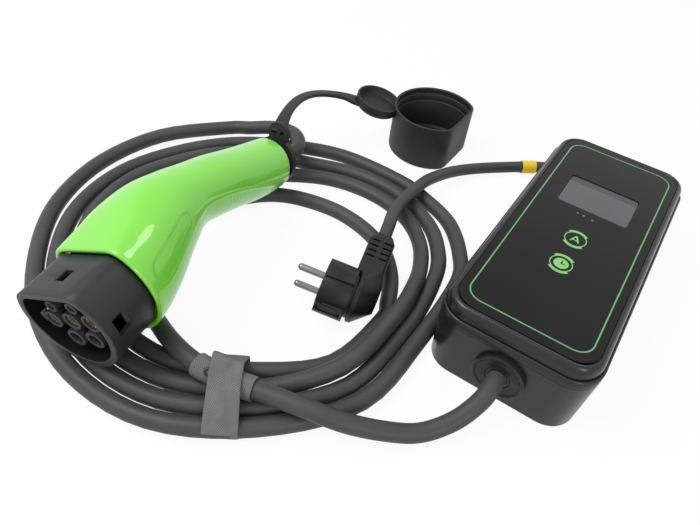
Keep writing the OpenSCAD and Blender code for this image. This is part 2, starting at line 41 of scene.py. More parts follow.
# Studio: a white table lit by soft boxes, with the camera where the photographer stood.
# The table glows for the camera so that it reads as white paper and keeps a faint shadow.
scene.view_settings.view_transform = "Standard"
camera_at = Vector((0.0158, -0.360, 0.324))
right = Vector((0.82884, 0.55168, 0.09324))
down = Vector((0.44995, -0.55817, -0.69715))
ahead = Vector((-0.33256, 0.61976, -0.71085))
photo_lens = bpy.data.cameras.new("photo_camera")
photo_lens.sensor_width = 36.0
photo_lens.lens = 30.857
photo_camera = bpy.data.objects.new("photo_camera", photo_lens)
photo_camera.matrix_world = Matrix((
    (right.x, -down.x, -ahead.x, camera_at.x),
    (right.y, -down.y, -ahead.y, camera_at.y),
    (right.z, -down.z, -ahead.z, camera_at.z),
    (0.0, 0.0, 0.0, 1.0)))
scene.collection.objects.link(photo_camera)
scene.camera = photo_camera


def seen_white(tree, dim, bright, out):
    rays = tree.nodes.new("ShaderNodeLightPath")
    first = tree.nodes.new("ShaderNodeMath")
    first.operation = "MAXIMUM"
    tree.links.new(rays.outputs["Is Camera Ray"], first.inputs[0])
    tree.links.new(rays.outputs["Is Glossy Ray"], first.inputs[1])
    seen = tree.nodes.new("ShaderNodeMath")
    seen.operation = "MAXIMUM"
    tree.links.new(first.outputs[0], seen.inputs[0])
    tree.links.new(rays.outputs["Is Transmission Ray"], seen.inputs[1])
    choice = tree.nodes.new("ShaderNodeMixShader")
    tree.links.new(seen.outputs[0], choice.inputs[0])
    tree.links.new(dim, choice.inputs[1])
    tree.links.new(bright, choice.inputs[2])
    tree.links.new(choice.outputs[0], out)


white = (1.0, 1.0, 1.0, 1.0)
studio_air = bpy.data.worlds.new("studio_air")
studio_air.use_nodes = True
scene.world = studio_air
air = studio_air.node_tree
soft_air = air.nodes["Background"]
soft_air.inputs["Color"].default_value = white
soft_air.inputs["Strength"].default_value = 0.5
white_air = air.nodes.new("ShaderNodeBackground")
white_air.inputs["Color"].default_value = white
white_air.inputs["Strength"].default_value = 1.0
seen_white(air, soft_air.outputs[0], white_air.outputs[0],
           air.nodes["World Output"].inputs["Surface"])

table_half = 4.0
table_drop = 0.0006
paper_glow_share = 0.92
table_bm = bmesh.new()
bmesh.ops.create_grid(table_bm, x_segments=1, y_segments=1, size=table_half)
bmesh.ops.translate(table_bm, vec=(0.0, 0.0, -table_drop), verts=table_bm.verts)
table_mesh = bpy.data.meshes.new("white_table")
table_bm.to_mesh(table_mesh)
table_bm.free()
white_table = bpy.data.objects.new("white_table", table_mesh)
scene.collection.objects.link(white_table)
paper = bpy.data.materials.new("white_paper")
paper.use_nodes = True
paper_tree = paper.node_tree
paper_tree.nodes.remove(paper_tree.nodes["Principled BSDF"])
paper_matt = paper_tree.nodes.new("ShaderNodeBsdfDiffuse")
paper_matt.inputs["Color"].default_value = (0.86, 0.86, 0.86, 1.0)
paper_glow = paper_tree.nodes.new("ShaderNodeEmission")
paper_glow.inputs["Strength"].default_value = 1.0
paper_mix = paper_tree.nodes.new("ShaderNodeMixShader")
paper_mix.inputs[0].default_value = paper_glow_share
paper_tree.links.new(paper_matt.outputs[0], paper_mix.inputs[1])
paper_tree.links.new(paper_glow.outputs[0], paper_mix.inputs[2])
seen_white(paper_tree, paper_matt.outputs[0], paper_mix.outputs[0],
           paper_tree.nodes["Material Output"].inputs["Surface"])
table_mesh.materials.append(paper)


def soft_box(name, place, aim, wide, high, power):
    lamp = bpy.data.lights.new(name, "AREA")
    lamp.shape = "RECTANGLE"
    lamp.size = wide
    lamp.size_y = high
    lamp.energy = power
    box = bpy.data.objects.new(name, lamp)
    box.location = place
    box.rotation_euler = (Vector(aim) - Vector(place)).to_track_quat("-Z", "Y").to_euler()
    scene.collection.objects.link(box)


soft_box("key_box", place=(-0.75, -0.55, 1.25), aim=(-0.15, -0.05, 0.0), wide=0.9, high=0.9, power=16.0)
soft_box("side_box", place=(1.0, -0.9, 0.7), aim=(-0.15, -0.15, 0.05), wide=0.35, high=0.6, power=5.0)
soft_box("window_box", place=(0.141, 0.436, 1.104), aim=(-0.197, -0.215, 0.082),
         wide=0.22, high=0.24, power=1.1)


# Charging cable: a 12 mm round rubber sheath over its cores, laid in an outward spiral on the table.
# It leaves the box gland, runs through the strap, turns four times and rises into the handle.
def surface(name, colour, rough, patch=40.0, vary=0.15, grain=2200.0, bump=0.12, depth=0.0002, **sockets):
    mat = bpy.data.materials.new(name)
    mat.use_nodes = True
    tree = mat.node_tree
    shader = tree.nodes["Principled BSDF"]
    where = tree.nodes.new("ShaderNodeTexCoord")
    cloud = tree.nodes.new("ShaderNodeTexNoise")
    cloud.inputs["Scale"].default_value = patch
    cloud.inputs["Detail"].default_value = 5.0
    tree.links.new(where.outputs["Object"], cloud.inputs["Vector"])
    tint = tree.nodes.new("ShaderNodeValToRGB")
    tint.color_ramp.elements[0].position = 0.3
    tint.color_ramp.elements[1].position = 0.7
    tint.color_ramp.elements[0].color = [c * (1.0 - vary) for c in colour] + [1.0]
    tint.color_ramp.elements[1].color = [min(1.0, c * (1.0 + vary)) for c in colour] + [1.0]
    tree.links.new(cloud.outputs["Fac"], tint.inputs["Fac"])
    tree.links.new(tint.outputs["Color"], shader.inputs["Base Color"])
    shine = tree.nodes.new("ShaderNodeMapRange")
    shine.inputs["From Min"].default_value = 0.25
    shine.inputs["From Max"].default_value = 0.75
    shine.inputs["To Min"].default_value = max(0.02, rough - 0.05)
    shine.inputs["To Max"].default_value = min(1.0, rough + 0.07)
    tree.links.new(cloud.outputs["Fac"], shine.inputs["Value"])
    tree.links.new(shine.outputs["Result"], shader.inputs["Roughness"])
    fine = tree.nodes.new("ShaderNodeTexNoise")
    fine.inputs["Scale"].default_value = grain
    fine.inputs["Detail"].default_value = 2.0
    tree.links.new(where.outputs["Object"], fine.inputs["Vector"])
    relief = tree.nodes.new("ShaderNodeBump")
    relief.inputs["Strength"].default_value = bump
    relief.inputs["Distance"].default_value = depth
    tree.links.new(fine.outputs["Fac"], relief.inputs["Height"])
    tree.links.new(relief.outputs["Normal"], shader.inputs["Normal"])
    for socket, value in sockets.items():
        shader.inputs[socket.replace("_", " ")].default_value = value
    return mat


def smooth_route(points, steps):
    line = []
    for i in range(len(points) - 1):
        a = Vector(points[max(i - 1, 0)])
        b = Vector(points[i])
        c = Vector(points[i + 1])
        d = Vector(points[min(i + 2, len(points) - 1)])
        for k in range(steps):
            t = k / steps
            line.append(0.5 * (2.0 * b + (c - a) * t + (2.0 * a - 5.0 * b + 4.0 * c - d) * t * t
                               + (3.0 * b - a - 3.0 * c + d) * t * t * t))
    line.append(Vector(points[-1]))
    return line


route_steps = 5
mm = 0.001


def sheathed(name, points, diameter, material, node):
    curve = bpy.data.curves.new(name, "CURVE")
    curve.dimensions = "3D"
    curve.bevel_depth = diameter / 2.0
    curve.bevel_resolution = 6
    curve.use_fill_caps = True
    line = smooth_route(points, route_steps)
    spline = curve.splines.new("POLY")
    spline.points.add(len(line) - 1)
    for knot, p in zip(spline.points, line):
        knot.co = (p.x * mm, p.y * mm, max(p.z * mm, diameter / 2.0), 1.0)
    spline.use_smooth = True
    curve.materials.append(material)
    cord = bpy.data.objects.new(name, curve)
    scene.collection.objects.link(cord)
    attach(cord, "root")
    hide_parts(node)
    return cord


cable_route = [
    (0, -114, 23), (0, -128, 23), (-1.5, -142, 19.8), (-9, -159, 13), (-22, -175, 8.5), (-38, -187, 10),
    (-58, -200, 16.5), (-80, -208, 20.6), (-104, -214, 20.8), (-127, -220, 20.8), (-150, -223, 20.8),
    (-172, -220, 19), (-194, -212, 12.5), (-218, -201, 6.5), (-240, -184, 6), (-253, -158, 6),
    (-257, -127, 6), (-252, -97, 6), (-240, -73, 6), (-222, -55, 6), (-198, -45, 6), (-170, -41, 6),
    (-141, -46, 6), (-118, -58, 6), (-101, -77, 6), (-90, -99, 6),
    (-85, -115, 6), (-92, -165, 6), (-127, -201, 8), (-168, -224, 8), (-213, -226, 6), (-253, -212, 6),
    (-277, -178, 6), (-284, -142, 6), (-282, -108, 6), (-271, -76, 6), (-253, -48, 6), (-230, -27, 6),
    (-204, -11, 6), (-176, -4, 6), (-148, -5, 6), (-122, -14, 6), (-102, -31, 6), (-89, -53, 6),
    (-80.5, -82, 12),
    (-77, -115, 15.4), (-83, -169, 15), (-118, -210, 8), (-163, -236, 8), (-213, -239.5, 6), (-258, -224, 6),
    (-293, -195, 6), (-318, -158, 6), (-326, -115, 6), (-314, -73, 6), (-291, -37, 6), (-256, -14, 6),
    (-229, -4, 6), (-204, 6, 6), (-178, 12, 6), (-150, 11, 6), (-124, 3, 6), (-103, -10, 6), (-88, -27, 6),
    (-77, -48, 6), (-70, -82, 6),
    (-68.5, -115, 6), (-74, -172.5, 6), (-109, -219, 8), (-158, -248.5, 8), (-213, -252.5, 6),
    (-263, -236.5, 6), (-303, -205, 6), (-331, -164, 6), (-339, -115, 6), (-326, -68, 6), (-300, -27, 6),
    (-262, 3, 6), (-213, 25, 6), (-154, 27, 6), (-123, 19, 6), (-94, 5, 6), (-71, -22, 6), (-59, -51, 6),
    (-56.5, -115, 6), (-62, -177, 6), (-100, -228, 8), (-153, -261, 8), (-213, -265.5, 6), (-268, -248, 6),
    (-313, -214, 6), (-347, -170, 6), (-362, -115, 6), (-353, -57, 6), (-318, -10, 6.5), (-299, 0, 10),
    (-282, 5, 15.5), (-266, 6.5, 20), (-252.5, 4.8, 21.8), (-242.5, -2, 22.4), (-236.6, -11, 23),
    (-234.6, -20, 24.6), (-234.3, -28.4, 26.8), (-233.8, -40, 29.8), (-233.4, -51.6, 32.8)]
cable_across = 0.012
cable_rubber = surface("cable_rubber", (0.048, 0.048, 0.0495), 0.50, patch=26.0, vary=0.18, grain=2600.0,
                       bump=0.10, Specular_IOR_Level=0.34)
charge_cord = sheathed("charge_cord", cable_route, cable_across, cable_rubber, "charge_cable")

# Mains lead: a thinner 10 mm cord from the far end of the box, round its corner and over the coil.
# It ends in the moulded mains plug that lies on the coil.
lead_route = [
    (6, 114, 23), (6, 128, 23), (2, 143, 19.2), (-9, 152, 14.5), (-25, 153, 10), (-43, 146, 7),
    (-61, 134, 6), (-78, 120, 6), (-93, 106, 6), (-108, 90, 6.5), (-119, 72, 9), (-126, 52, 13),
    (-130.5, 28, 17.6), (-132.3, 4, 18.2), (-131, -17, 20.8), (-127.8, -33.5, 23), (-123.5, -46.5, 23.8),
    (-119.7, -59.4, 22.9), (-115.2, -74.7, 21.8)]
lead_across = 0.010
lead_cord = sheathed("lead_cord", lead_route, lead_across, cable_rubber, "mains_lead")


# Base of the control box: a deep moulded tray in satin black plastic with a rounded lower edge.
# Four screws come up through its pillars from below and hold the cover.
def merge_flat(bm, close):
    bmesh.ops.remove_doubles(bm, verts=bm.verts, dist=close)
    bmesh.ops.dissolve_limit(bm, angle_limit=math.radians(1.0), verts=bm.verts, edges=bm.edges)


def take(node):
    bm = bmesh.new()
    bm.from_mesh(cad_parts[node].data)
    merge_flat(bm, close=2e-6)
    return bm


def piece(name, bm, material, nodes=(), smooth=38.0):
    mesh = bpy.data.meshes.new(name)
    bm.to_mesh(mesh)
    bm.free()
    mesh.materials.append(material)
    mesh.shade_smooth()
    mesh.set_sharp_from_angle(angle=math.radians(smooth))
    obj = bpy.data.objects.new(name, mesh)
    scene.collection.objects.link(obj)
    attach(obj, "root")
    if nodes:
        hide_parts(*nodes)
    return obj


def round_edges(bm, edges, offset, segments):
    bmesh.ops.bevel(bm, geom=edges, offset=offset, offset_type="OFFSET", segments=segments, profile=0.5,
                    affect="EDGES", material=-1, clamp_overlap=True)


box_plastic = surface("box_plastic", (0.010, 0.010, 0.011), 0.27, patch=22.0, vary=0.2, grain=1500.0,
                      bump=0.11, Specular_IOR_Level=0.42)
foot_height = 0.0002
foot_side = 0.0492
foot_end = 0.1005
screw_band = (0.030, 0.043)
foot_round = 0.0026


def on_foot(v):
    x, y, z = abs(v.co.x), abs(v.co.y), v.co.z
    clear_of_screws = x < screw_band[0] or x > screw_band[1]
    return z < foot_height and (x > foot_side or y > foot_end and clear_of_screws)


tray = take("base_shell")
foot = [e for e in tray.edges if len(e.link_faces) == 2 and all(on_foot(v) for v in e.verts)
        and abs(e.link_faces[0].normal.z - e.link_faces[1].normal.z) > 0.8]
round_edges(tray, foot, offset=foot_round, segments=4)
piece("base_tray", tray, box_plastic, ["base_shell"])


# Cover of the control box: a shallow lid with a stepped, rounded rim and a pocket for the front panel.
# It is moulded in the same black plastic and sits on the tray along a fine parting line.
def rounded_block(wide, long, low, high, radius, segments):
    bm = bmesh.new()
    bmesh.ops.create_cube(bm, size=1.0)
    bmesh.ops.scale(bm, vec=(wide, long, high - low), verts=bm.verts)
    bmesh.ops.translate(bm, vec=(0.0, 0.0, (low + high) / 2.0), verts=bm.verts)
    uprights = [e for e in bm.edges if abs(e.verts[0].co.z - e.verts[1].co.z) > (high - low) / 2.0]
    bmesh.ops.bevel(bm, geom=uprights, offset=radius, offset_type="OFFSET", segments=segments, profile=0.5,
                    affect="EDGES", material=-1)
    return bm


def top_face(bm):
    bm.faces.ensure_lookup_table()
    level = [f for f in bm.faces if f.normal.z > 0.9]
    return max(level, key=lambda f: (round(f.calc_center_median().z, 4), f.calc_area()))


def raise_steps(bm, face, steps):
    for thick, rise in steps:
        bmesh.ops.inset_region(bm, faces=[face], thickness=thick, depth=rise, use_even_offset=True)


def to_metres(bm):
    bmesh.ops.scale(bm, vec=(mm, mm, mm), verts=bm.verts)


box_wide = 104.0
box_long = 240.0
box_corner = 20.0
lid_low = 42.35
lid_ledge = 48.4
lid_steps = [
    (0.35, 0.35), (0.35, 0.2), (0.4, 0.05), (0.3, -0.45), (0.25, 0.0), (0.2, 1.0), (0.1, 1.4), (0.15, 1.6),
    (0.3, 1.6), (0.5, 1.4), (0.6, 1.05), (0.7, 0.75), (0.7, 0.42), (0.7, 0.18), (0.6, -0.02), (0.4, -0.25),
    (0.3, -0.6), (0.05, -0.7)]
lid = rounded_block(box_wide, box_long, lid_low, lid_ledge, box_corner, segments=14)
raise_steps(lid, top_face(lid), lid_steps)
to_metres(lid)
piece("lid_cover", lid, box_plastic, ["top_cover"], smooth=50.0)

# Front panel: a high-gloss black sheet let into the cover, printed from behind.
# Its green outline and the two touch keys are thin printed layers set flush in it.
panel_gloss = surface("panel_gloss", (0.0045, 0.0045, 0.0058), 0.07, patch=12.0, vary=0.25, grain=320.0,
                      bump=0.015, depth=0.0001, Specular_IOR_Level=0.22)


# Print inks also glow faintly by emission in their own colour, a painted light that brightens the print.
def printed(name, colour):
    return surface(name, colour, 0.35, patch=160.0, vary=0.10, grain=4000.0, bump=0.05,
                   Emission_Color=(*colour, 1.0), Emission_Strength=0.05)


line_ink = printed("line_ink", (0.105, 0.37, 0.120))
key_ink = printed("key_ink", (0.180, 0.51, 0.130))


def finish(node, material):
    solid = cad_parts[node]
    solid.data.materials.clear()
    solid.data.materials.append(material)


finish("front_panel", panel_gloss)
finish("outline_inlay", line_ink)
finish("key_marks", key_ink)


# Display: a clear rounded window over a grey liquid crystal, let into the panel.
# Its far band is darkened with painted shade where the recess shades the crystal, and its face lies a little
# below the panel.
def all_of(bm):
    return list(bm.verts) + list(bm.edges) + list(bm.faces)


def liquid_crystal(name, colour):
    return surface(name, colour, 0.22, patch=30.0, vary=0.07, grain=5200.0, bump=0.02, Specular_IOR_Level=0.5)


window_wide = 52.0
window_long = 37.0
window_corner = 3.2
window_y = 42.0
window_low = 56.45
window_edge = 57.35
shade_band_from = window_long / 2.0 - 7.5
glass_steps = [(0.5, 0.25), (1.1, 0.0), (0.1, -0.1)]
glass_block = rounded_block(window_wide, window_long, window_low, window_edge, window_corner, segments=8)
raise_steps(glass_block, top_face(glass_block), glass_steps)
# Cut off the far band of the face: it takes a darker copy of the grey, painted shade of the recess.
bmesh.ops.bisect_plane(glass_block, geom=all_of(glass_block), dist=1e-4, plane_co=(0.0, shade_band_from, 0.0),
                       plane_no=(0.0, 1.0, 0.0))
for f in glass_block.faces:
    f.material_index = 1 if f.calc_center_median().y > shade_band_from else 0
bmesh.ops.translate(glass_block, vec=(0.0, window_y, 0.0), verts=glass_block.verts)
to_metres(glass_block)
display_grey = liquid_crystal("display_grey", (0.080, 0.080, 0.093))
display_face = piece("display_face", glass_block, display_grey, ["display_window"])
# The second material is the darker painted shade for the far band.
display_face.data.materials.append(liquid_crystal("display_far_shade", (0.044, 0.044, 0.051)))
lamp_lens = surface("lamp_lens", (0.11, 0.115, 0.125), 0.25, patch=300.0, vary=0.2, grain=5000.0, bump=0.05)
finish("status_lamps", lamp_lens)

# Inside of the box: display board, main circuit board with relay and leak sensor, and the screws.
# They are closed in by the shells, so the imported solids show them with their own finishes.
board_lacquer = surface("board_lacquer", (0.035, 0.16, 0.07), 0.4, patch=120.0, vary=0.3, grain=900.0,
                        bump=0.2)
relay_case = surface("relay_case", (0.04, 0.10, 0.32), 0.45, patch=60.0, vary=0.12, grain=1800.0, bump=0.15)
core_coat = surface("core_coat", (0.05, 0.043, 0.036), 0.55, patch=80.0, vary=0.2, grain=1200.0, bump=0.25)
screw_steel = surface("screw_steel", (0.52, 0.52, 0.51), 0.32, patch=400.0, vary=0.1, grain=3000.0,
                      bump=0.08, Metallic=1.0)
soft_rubber = surface("soft_rubber", (0.014, 0.014, 0.015), 0.52, patch=34.0, vary=0.16, grain=1700.0,
                      bump=0.2, Specular_IOR_Level=0.34)
finish("display_module", board_lacquer)
finish("main_board", board_lacquer)
finish("switching_relay", relay_case)
finish("current_sensor", core_coat)
finish("board_screws", screw_steel)
finish("case_screws", screw_steel)
finish("cover_seal", soft_rubber)


# Cable bushes of the box: round rubber flanges with a raised outer rim and an inner collar.
# Each is pushed into the end wall from outside and grips its cable.
def soften(obj, width, segments=3, angle=34.0):
    mod = obj.modifiers.new("rounded_edges", "BEVEL")
    mod.width = width
    mod.segments = segments
    mod.limit_method = "ANGLE"
    mod.angle_limit = math.radians(angle)
    mod.harden_normals = True


bush_rubber = surface("bush_rubber", (0.013, 0.013, 0.014), 0.44, patch=40.0, vary=0.18, grain=1600.0,
                      bump=0.15, Specular_IOR_Level=0.32)
box_end = 0.120
groove_floor = (0.002, 0.0032)
groove_lifted = 0.0042
proud_share = 0.72


def flat_bush(node):
    bm = take(node)
    for v in bm.verts:
        proud = abs(v.co.y) - box_end
        if groove_floor[0] < proud < groove_floor[1]:
            proud = groove_lifted
        if proud > 0.0:
            v.co.y = math.copysign(box_end + proud_share * proud, v.co.y)
    return bm


for bush_name, gland in (("outlet_bush", "outlet_gland"), ("inlet_bush", "inlet_gland")):
    bush = piece(bush_name, flat_bush(gland), bush_rubber, [gland], smooth=180.0)
    soften(bush, width=0.0006)

# Nose of the handle: a round black moulding with a flat top, slots and a deep open front.
# It holds the contact block and slides into the green grip with a spigot.
nose_plastic = surface("nose_plastic", (0.021, 0.021, 0.022), 0.42, patch=28.0, vary=0.14, grain=1400.0,
                       bump=0.22, Specular_IOR_Level=0.32)
# A darker copy of the nose plastic for the inside of the open front: painted shade for the deep hollow.
nose_hollow_shade = surface("nose_hollow_shade", (0.006, 0.006, 0.0065), 0.55, patch=28.0, vary=0.14, grain=1400.0,
                      bump=0.2, Specular_IOR_Level=0.2)
handle_tilt = Euler((math.radians(2.0), math.radians(-24.5), math.radians(9.0)), "XYZ")
handle_place = Matrix.Translation(Vector((-208.5, -257.2, 49.5))) @ handle_tilt.to_matrix().to_4x4()
handle_turn = handle_place.to_3x3()
to_handle = handle_place.inverted()
inward = handle_turn @ Vector((0.0, 1.0, 0.0))
nose_radius = 33.0
nose_flat = 24.0
hollow_share = 0.93
hollow_depth = 28.5
slot_side = 25.0
slot_band = (5.5, 14.5)
slot_shift = Vector((0.0, -0.0035, 0.0))
shading_rings = (1.5, 11.5, 20.0)
rim_band = 0.5
rim_extra = 0.0014


def in_handle(v):
    return to_handle @ (v.co * 1000.0)


def inside_nose(q):
    return max(math.hypot(q.x, q.z) / nose_radius, q.z / nose_flat) < hollow_share


nose = take("nose_housing")
for v in nose.verts:
    here = in_handle(v)
    if abs(here.x) > slot_side and slot_band[0] < here.y < slot_band[1]:
        v.co += handle_turn @ slot_shift
for ring_at in shading_rings:
    bmesh.ops.bisect_plane(nose, geom=all_of(nose), dist=1e-7, plane_no=inward,
                           plane_co=handle_place @ Vector((0.0, ring_at, 0.0)) / 1000.0)
# Faces deep inside the front take the darker painted-shade copy.
for f in nose.faces:
    if all(inside_nose(q) and q.y < hollow_depth for q in map(in_handle, f.verts)):
        f.material_index = 1
for v in nose.verts:
    here = in_handle(v)
    if here.y < rim_band and inside_nose(here):
        v.co -= handle_turn @ (Vector((here.x, 0.0, here.z)).normalized() * rim_extra)
nose_shell = piece("nose_shell", nose, nose_plastic, ["nose_housing"], smooth=180.0)
nose_shell.data.materials.append(nose_hollow_shade)
soften(nose_shell, width=0.0009)


# Contact block: the black carrier with its seven tubes, set deep in the nose.
# Its base colour is darkened inward by painted shade, where little light reaches.
def tone_base(material, tone):
    tree = material.node_tree
    shader = tree.nodes["Principled BSDF"]
    mix = tree.nodes.new("ShaderNodeMix")
    mix.data_type = "RGBA"
    mix.blend_type = "MULTIPLY"
    mix.inputs["Factor"].default_value = 1.0
    tree.links.new(shader.inputs["Base Color"].links[0].from_socket, mix.inputs["A"])
    tree.links.new(tone, mix.inputs["B"])
    tree.links.new(mix.outputs["Result"], shader.inputs["Base Color"])


carrier_plastic = surface("carrier_plastic", (0.026, 0.026, 0.027), 0.5, patch=60.0, vary=0.15,
                          grain=1800.0, bump=0.15, Specular_IOR_Level=0.3)
# Painted shade: the base colour falls to a small share of itself a few millimetres into the nose.
mouth_at = inward.dot(handle_place.translation) / 1000.0
painted_shade_band = (0.001, 0.008)
painted_shade_tone = 0.12
carrier_tree = carrier_plastic.node_tree
carrier_where = next(n for n in carrier_tree.nodes if n.type == "TEX_COORD")
depth_in = carrier_tree.nodes.new("ShaderNodeVectorMath")
depth_in.operation = "DOT_PRODUCT"
depth_in.inputs[1].default_value = inward
carrier_tree.links.new(carrier_where.outputs["Object"], depth_in.inputs[0])
shade = carrier_tree.nodes.new("ShaderNodeMapRange")
shade.inputs["From Min"].default_value = mouth_at + painted_shade_band[0]
shade.inputs["From Max"].default_value = mouth_at + painted_shade_band[1]
shade.inputs["To Min"].default_value = 1.0
shade.inputs["To Max"].default_value = painted_shade_tone
carrier_tree.links.new(depth_in.outputs["Value"], shade.inputs["Value"])
tone_base(carrier_plastic, shade.outputs["Result"])
contact_block = piece("contact_block", take("contact_carrier"), carrier_plastic,
                      ["contact_carrier"], smooth=180.0)
soften(contact_block, width=0.0004)

# Contacts: turned brass tubes for power and smaller ones for the signals, set back in the carrier.
# Their brass is bright from turning, with a fine grain.
contact_brass = surface("contact_brass", (0.86, 0.66, 0.40), 0.34, patch=500.0, vary=0.12, grain=3500.0,
                        bump=0.06, Metallic=1.0)
piece("power_tubes", take("power_contacts"), contact_brass, ["power_contacts"])
piece("signal_tubes", take("signal_contacts"), contact_brass, ["signal_contacts"])

# Grip of the handle: a glossy lime green shell that swells behind the nose and droops to a round end.
# It is moulded in one piece with a thin lip round the nose.
# Each section is the distance back, the middle height, the half width, the half height and the flat top.
grip_sections = [
    (30, 0, 36.6, 36.6, 27.4), (33, 0, 36.8, 36.8, 28), (46, 1, 36, 35.6, 31.5), (62, 4, 34.4, 33.6, 35.5),
    (84, 7.4, 29.8, 28.8, 38.5), (105, 7.4, 24.8, 23.6, 42), (125, 1.6, 23.2, 22.8, 42),
    (145, -5, 23.4, 23, 42), (165, -12.8, 23.2, 23, 42), (185, -19.6, 22.8, 22.4, 42),
    (203, -24.6, 22, 21, 42), (222, -30, 20.6, 19.8, 42)]
upper_sweep = [(60, 6), (83, 2), (100, -2), (118, -4), (136, -8), (161, -18), (194, -26), (230, -34)]
lower_sweep = [(60, -12), (81, -14), (98, -16), (112, -15), (127, -15), (150, -22), (191, -44), (230, -56)]
lip_rows = [(34.0, -4.0), (31.0, -3.2), (30.3, -2.4), (30.0, -1.5), (30.1, -0.7), (30.6, -0.15), (31.4, 0.0)]
grip_sides = 220
grip_rows = 231
row_step = 0.8
grip_front = 30.0
grip_back = 221.9
grip_blend = 5.0
socket_radius = 30.3
socket_flat = 21.3
socket_depths = (56.3, 34.0)
flat_blend = 4.5
collar_at = Vector((0.0, 200.5, -23.7))
collar_lean = math.radians(-18.0)
capsule_ends = (45.0, 79.0)
capsule_turn = 2.0
capsule_half = 8.2
capsule_slope = 1.2
capsule_sink = 0.5
capsule_arc = 0.6
sweep_arc = 0.42
sweep_rise = 0.55
sweep_slope = 1.1
sweep_start = 84.0
sweep_fade = 16.0
rib_depth = 0.30
rib_pitch = 3.2
rib_start = 122.0
rib_fade = 4.0
rib_gap = 0.6
rib_gap_fade = 0.8
rib_turn = -74.0
rib_turn_fade = 6.0


def soft_cap(value, limit, blend):
    if value < limit - blend:
        return value
    if value > limit + blend:
        return limit
    over = value - limit + blend
    return value - over * over / (4.0 * blend)


def grip_at(back):
    i = max(k for k in range(len(grip_sections) - 1) if grip_sections[k][0] <= back)
    before = grip_sections[max(i - 1, 0)]
    here = grip_sections[i]
    there = grip_sections[i + 1]
    after = grip_sections[min(i + 2, len(grip_sections) - 1)]
    span = there[0] - here[0]
    t = (back - here[0]) / span
    out = []
    for c in range(1, 5):
        m0 = (there[c] - before[c]) / (there[0] - before[0]) * span
        m1 = (after[c] - here[c]) / (after[0] - here[0]) * span
        out.append(here[c] * (2 * t**3 - 3 * t**2 + 1) + m0 * (t**3 - 2 * t**2 + t)
                   + there[c] * (3 * t**2 - 2 * t**3) + m1 * (t**3 - t**2))
    return out


def step_up(x):
    x = max(0.0, min(1.0, x))
    return x * x * (3.0 - 2.0 * x)


def read_off(line, back):
    for (a, u), (b, v) in zip(line, line[1:]):
        if back <= b:
            return u + (v - u) * max(0.0, back - a) / (b - a)
    return line[-1][1]


def relief(back, degrees):
    beyond = max(capsule_ends[0] - back, back - capsule_ends[1], 0.0)
    off_capsule = math.hypot(beyond, (degrees - capsule_turn) * capsule_arc)
    capsule = capsule_sink * step_up((capsule_half - off_capsule) / capsule_slope)
    high = (read_off(upper_sweep, back) - degrees) * sweep_arc
    low = (degrees - read_off(lower_sweep, back)) * sweep_arc
    sweep = sweep_rise * step_up(high / sweep_slope) * step_up(low / sweep_slope)
    sweep *= step_up((back - sweep_start) / sweep_fade)
    ribs = rib_depth * step_up((-low - rib_gap) / rib_gap_fade) * step_up((back - rib_start) / rib_fade)
    ribs *= step_up((degrees - rib_turn) / rib_turn_fade)
    return sweep - capsule - ribs * (0.5 + 0.5 * math.sin(2.0 * math.pi * back / rib_pitch))


def place_ring(verts, back, grow):
    middle, half_wide, half_high, flat = grip_at(max(grip_front, min(back, grip_back)))
    for k, v in enumerate(verts):
        turn = 2.0 * math.pi * k / len(verts)
        lift = grow + relief(back, math.degrees(turn if turn < math.pi else turn - 2.0 * math.pi))
        height = middle + (half_high + lift) * math.sin(turn)
        v.co = ((half_wide + lift) * math.cos(turn), back, soft_cap(height, flat + grow, grip_blend))


def place_socket(verts, back):
    for k, v in enumerate(verts):
        turn = 2.0 * math.pi * k / len(verts)
        height = soft_cap(socket_radius * math.sin(turn), socket_flat, flat_blend)
        v.co = (socket_radius * math.cos(turn), back, height)


def next_ring(bm, verts):
    count = len(verts)
    edges = [bm.edges.get((verts[k], verts[(k + 1) % count])) for k in range(count)]
    grown = bmesh.ops.extrude_edge_only(bm, edges=edges)["geom"]
    fresh = {g for g in grown if isinstance(g, bmesh.types.BMVert)}
    return [next(e.other_vert(v) for e in v.link_edges if e.other_vert(v) in fresh) for v in verts]


grip = bmesh.new()
ring = bmesh.ops.create_circle(grip, cap_ends=True, segments=grip_sides, radius=socket_radius)["verts"]
place_socket(ring, socket_depths[0])
ring = next_ring(grip, ring)
place_socket(ring, socket_depths[1])
for back, grow in lip_rows:
    ring = next_ring(grip, ring)
    place_ring(ring, back, grow)
for k in range(1, grip_rows + 1):
    ring = next_ring(grip, ring)
    place_ring(ring, lip_rows[-1][0] + k * row_step, 0.0)
cut = bmesh.ops.bisect_plane(grip, geom=all_of(grip), dist=1e-5, plane_co=collar_at, clear_outer=True,
                             plane_no=(0.0, math.cos(collar_lean), math.sin(collar_lean)))
rim = [e for e in cut["geom_cut"] if isinstance(e, bmesh.types.BMEdge)]
end = bmesh.ops.edgeloop_fill(grip, edges=rim)["faces"]
bmesh.ops.recalc_face_normals(grip, faces=grip.faces)
round_edges(grip, list(end[0].edges), offset=3.2, segments=5)
bmesh.ops.transform(grip, matrix=handle_place, verts=grip.verts)
to_metres(grip)
lime_gloss = surface("lime_gloss", (0.190, 0.650, 0.045), 0.34, patch=14.0, vary=0.04, grain=900.0,
                     bump=0.02, Specular_IOR_Level=0.4, Coat_Weight=0.8, Coat_Roughness=0.03)
piece("green_grip", grip, lime_gloss, ["grip_shell"], smooth=50.0)

# Rear collar: a dark round ring that closes the grip where the cable enters.
# It is moulded in black plastic and carries the tether in a groove.
end_collar = piece("end_collar", take("rear_collar"), nose_plastic, ["rear_collar"],
                   smooth=180.0)
soften(end_collar, width=0.0005)

# Tether: a soft black strap with an eared ring on the collar and a shallow dish against the cap.
# It is moulded in one piece of rubber and springs in an arc above the table.
corner_power = 0.4


